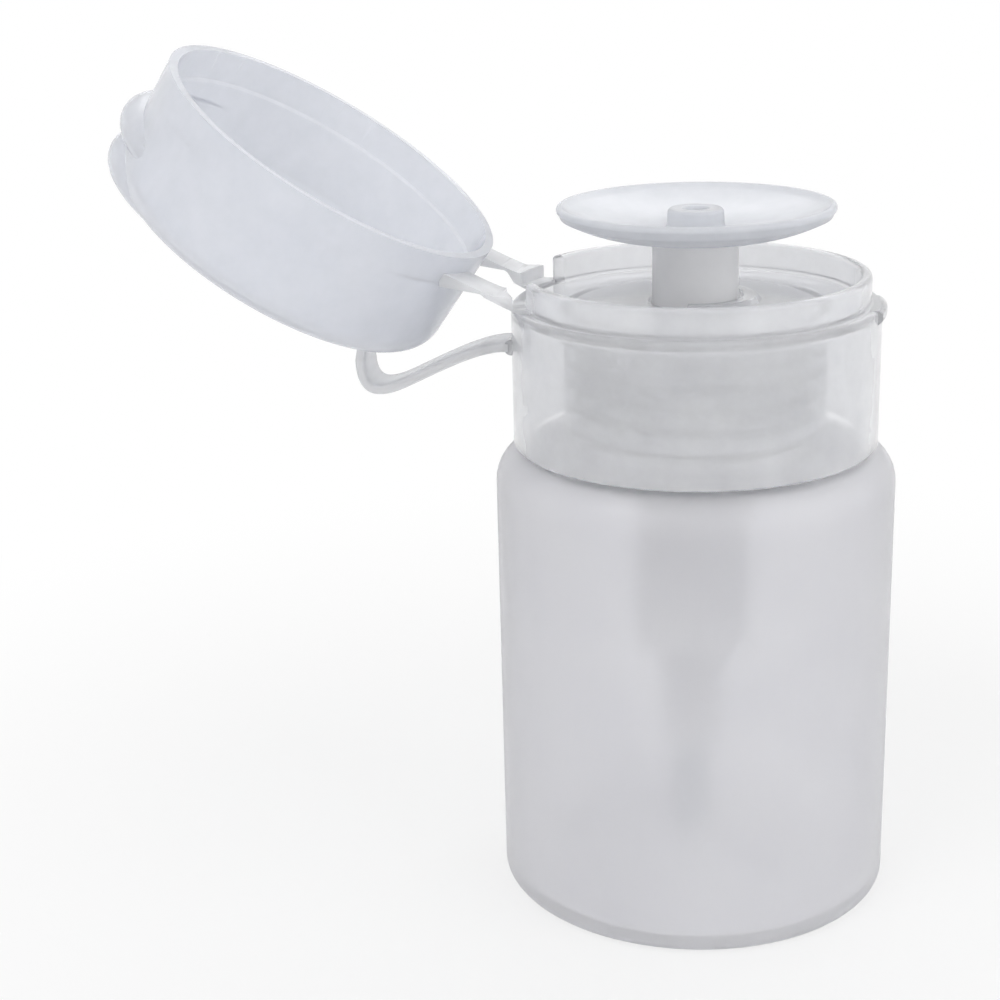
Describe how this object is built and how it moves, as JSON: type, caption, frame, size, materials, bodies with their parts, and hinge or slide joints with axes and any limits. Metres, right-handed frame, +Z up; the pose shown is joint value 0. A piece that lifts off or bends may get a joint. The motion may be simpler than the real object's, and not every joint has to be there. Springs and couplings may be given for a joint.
{
  "type": "pump oil bottle",
  "caption": "Push-down pump bottle for massage oil, in natural plastic: round body, screw collar with a drip basin, dish-shaped push plate and a flip-top lid held by a snap strap.",
  "frame": {"origin": "centre of the base, on the surface that the bottle stands on", "axes": "+Z up along the bottle, +X away from the lid's hinge, so the open lid hangs out over -X"},
  "size_m": [0.0887, 0.045, 0.0966],
  "materials": {
    "bottle_pp": "frosted natural polypropylene, see-through enough to show the pump as a soft shadow",
    "closure_pp": "natural polypropylene, moulded satin with gloss highlights",
    "dish_pp": "clear-natural polypropylene, polished",
    "pump_pp": "natural polypropylene, moulded",
    "seal_pe": "soft polyethylene seal",
    "tube_pe": "extruded polyethylene tube",
    "steel": "drawn and polished stainless steel"
  },
  "bodies": {
    "bottle": {"bottle": "bottle_pp"},
    "pump": {"pump_housing": "pump_pp", "guide_bush": "pump_pp", "stem_wiper": "seal_pe", "neck_gasket": "seal_pe", "dip_tube": "tube_pe", "return_spring": "steel"},
    "inlet_valve": {"inlet_ball": "steel"},
    "press": {"push_dish": "dish_pp", "stem": "pump_pp", "piston": "seal_pe"},
    "outlet_valve": {"outlet_ball": "steel"},
    "collar": {"collar": "closure_pp", "hinge_strap_front": "closure_pp", "hinge_strap_rear": "closure_pp"},
    "lid": {"lid": "closure_pp"},
    "strap_root": {"spring_strap_root": "closure_pp"},
    "strap_tip": {"spring_strap_tip": "closure_pp"}
  },
  "joints": [
    {"name": "closure_lift", "type": "slide", "parent": "bottle", "child": "pump", "axis": [0, 0, 1], "range_m": [0, 0.064]},
    {"name": "collar_turn", "type": "hinge", "parent": "pump", "child": "collar", "pos_m": [0, 0, 0.0688], "axis": [0, 0, 1], "range_deg": [0, 810]},
    {"name": "pump_press", "type": "slide", "parent": "pump", "child": "press", "axis": [0, 0, 1], "range_m": [-0.0055, 0], "stiffness_N_per_m": 600, "springref_m": 0.002, "deforming": ["return_spring"]},
    {"name": "inlet_lift", "type": "slide", "parent": "pump", "child": "inlet_valve", "axis": [0, 0, 1], "range_m": [0, 0.001]},
    {"name": "outlet_lift", "type": "slide", "parent": "press", "child": "outlet_valve", "axis": [0, 0, 1], "range_m": [0, 0.001]},
    {"name": "lid_hinge", "type": "hinge", "parent": "collar", "child": "lid", "pos_m": [-0.02264, 0, 0.0711], "axis": [0, 1, 0], "range_deg": [0, 146.4], "deforming": ["hinge_strap_front", "hinge_strap_rear"]},
    {"name": "strap_turn", "type": "hinge", "parent": "collar", "child": "strap_root", "pos_m": [-0.0212, 0, 0.0633], "axis": [0, 1, 0], "range_deg": [0, 82.5], "deforming": ["spring_strap_root"]},
    {"name": "strap_stretch", "type": "slide", "parent": "strap_root", "child": "strap_tip", "axis": [-0.4086, 0, 0.9127], "range_m": [0, 0.0095], "deforming": ["spring_strap_tip"]}
  ],
  "couplings": [
    {"joint": "strap_turn", "follows": "lid_hinge", "ratio": 0.5632},
    {"joint": "strap_stretch", "follows": "lid_hinge", "m_per_rad": 0.003705}
  ]
}
